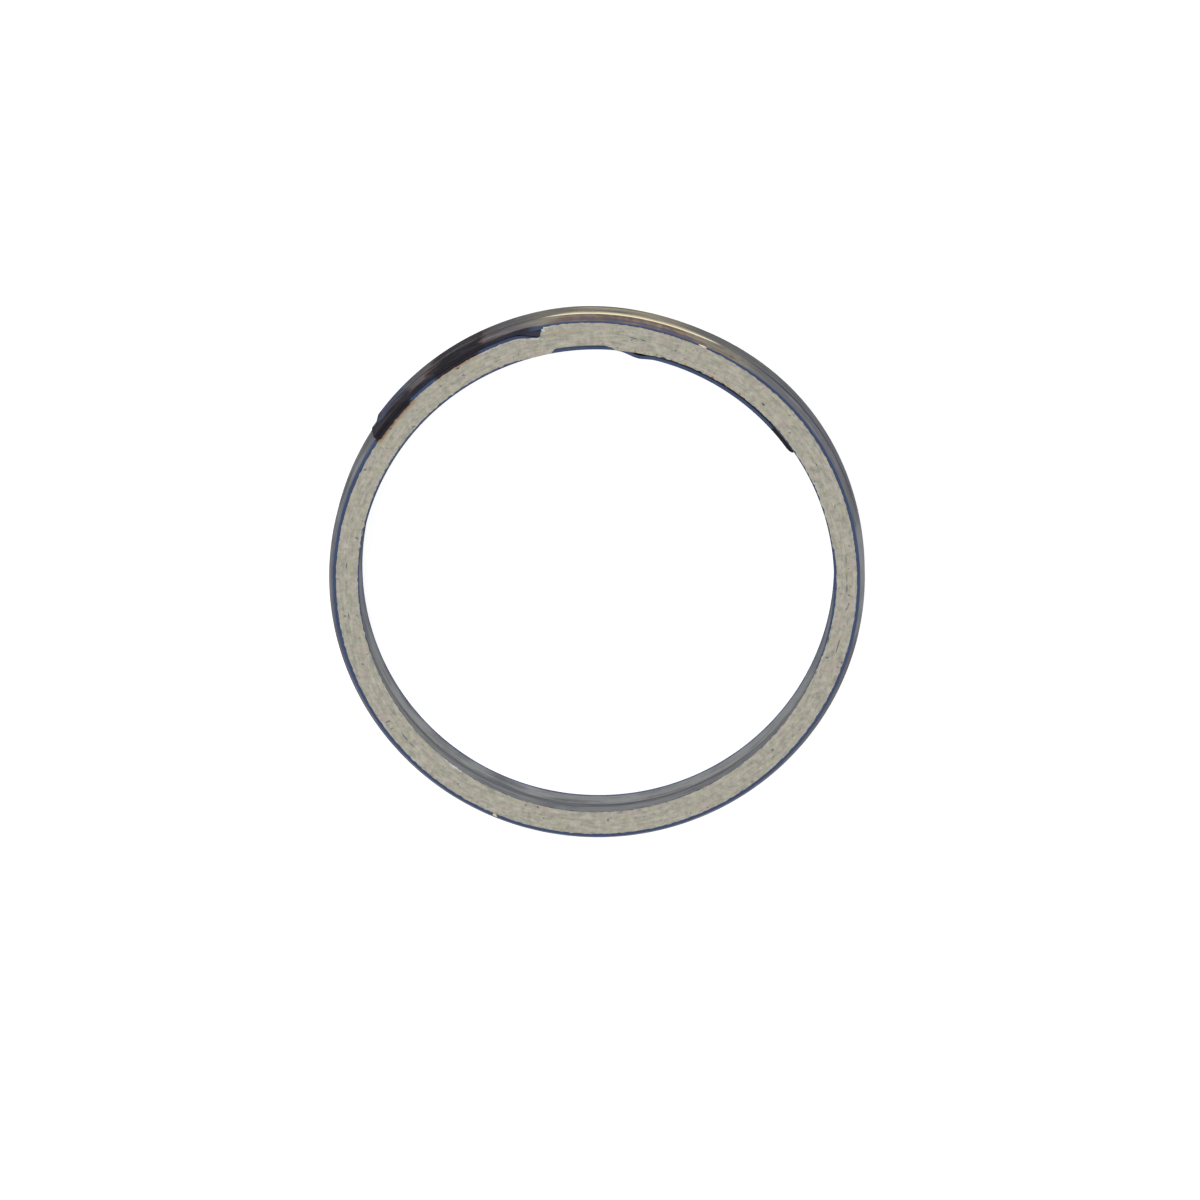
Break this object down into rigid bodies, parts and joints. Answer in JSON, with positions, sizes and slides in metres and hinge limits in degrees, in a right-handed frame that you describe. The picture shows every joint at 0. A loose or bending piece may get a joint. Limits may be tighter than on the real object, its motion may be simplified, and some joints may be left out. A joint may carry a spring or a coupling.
{
  "type": "exhaust gasket",
  "caption": "Spiral wound ring gasket: a thin W-section steel strip wound together with a soft mineral filler strip, to seal an exhaust pipe against its port.",
  "frame": {"origin": "centre of the bore, on the lower sealing face", "axes": "+Z along the bore, up out of the upper sealing face; +Y towards the lapped and welded ends of the strip; the strip winds outwards anticlockwise about +Z"},
  "size_m": [0.0448, 0.0451, 0.0053],
  "materials": {
    "strip_steel": "satin",
    "mineral_filler": "matte"
  },
  "bodies": {
    "root": {"winding_strip": "strip_steel", "filler_strip": "mineral_filler"}
  },
  "joints": []
}
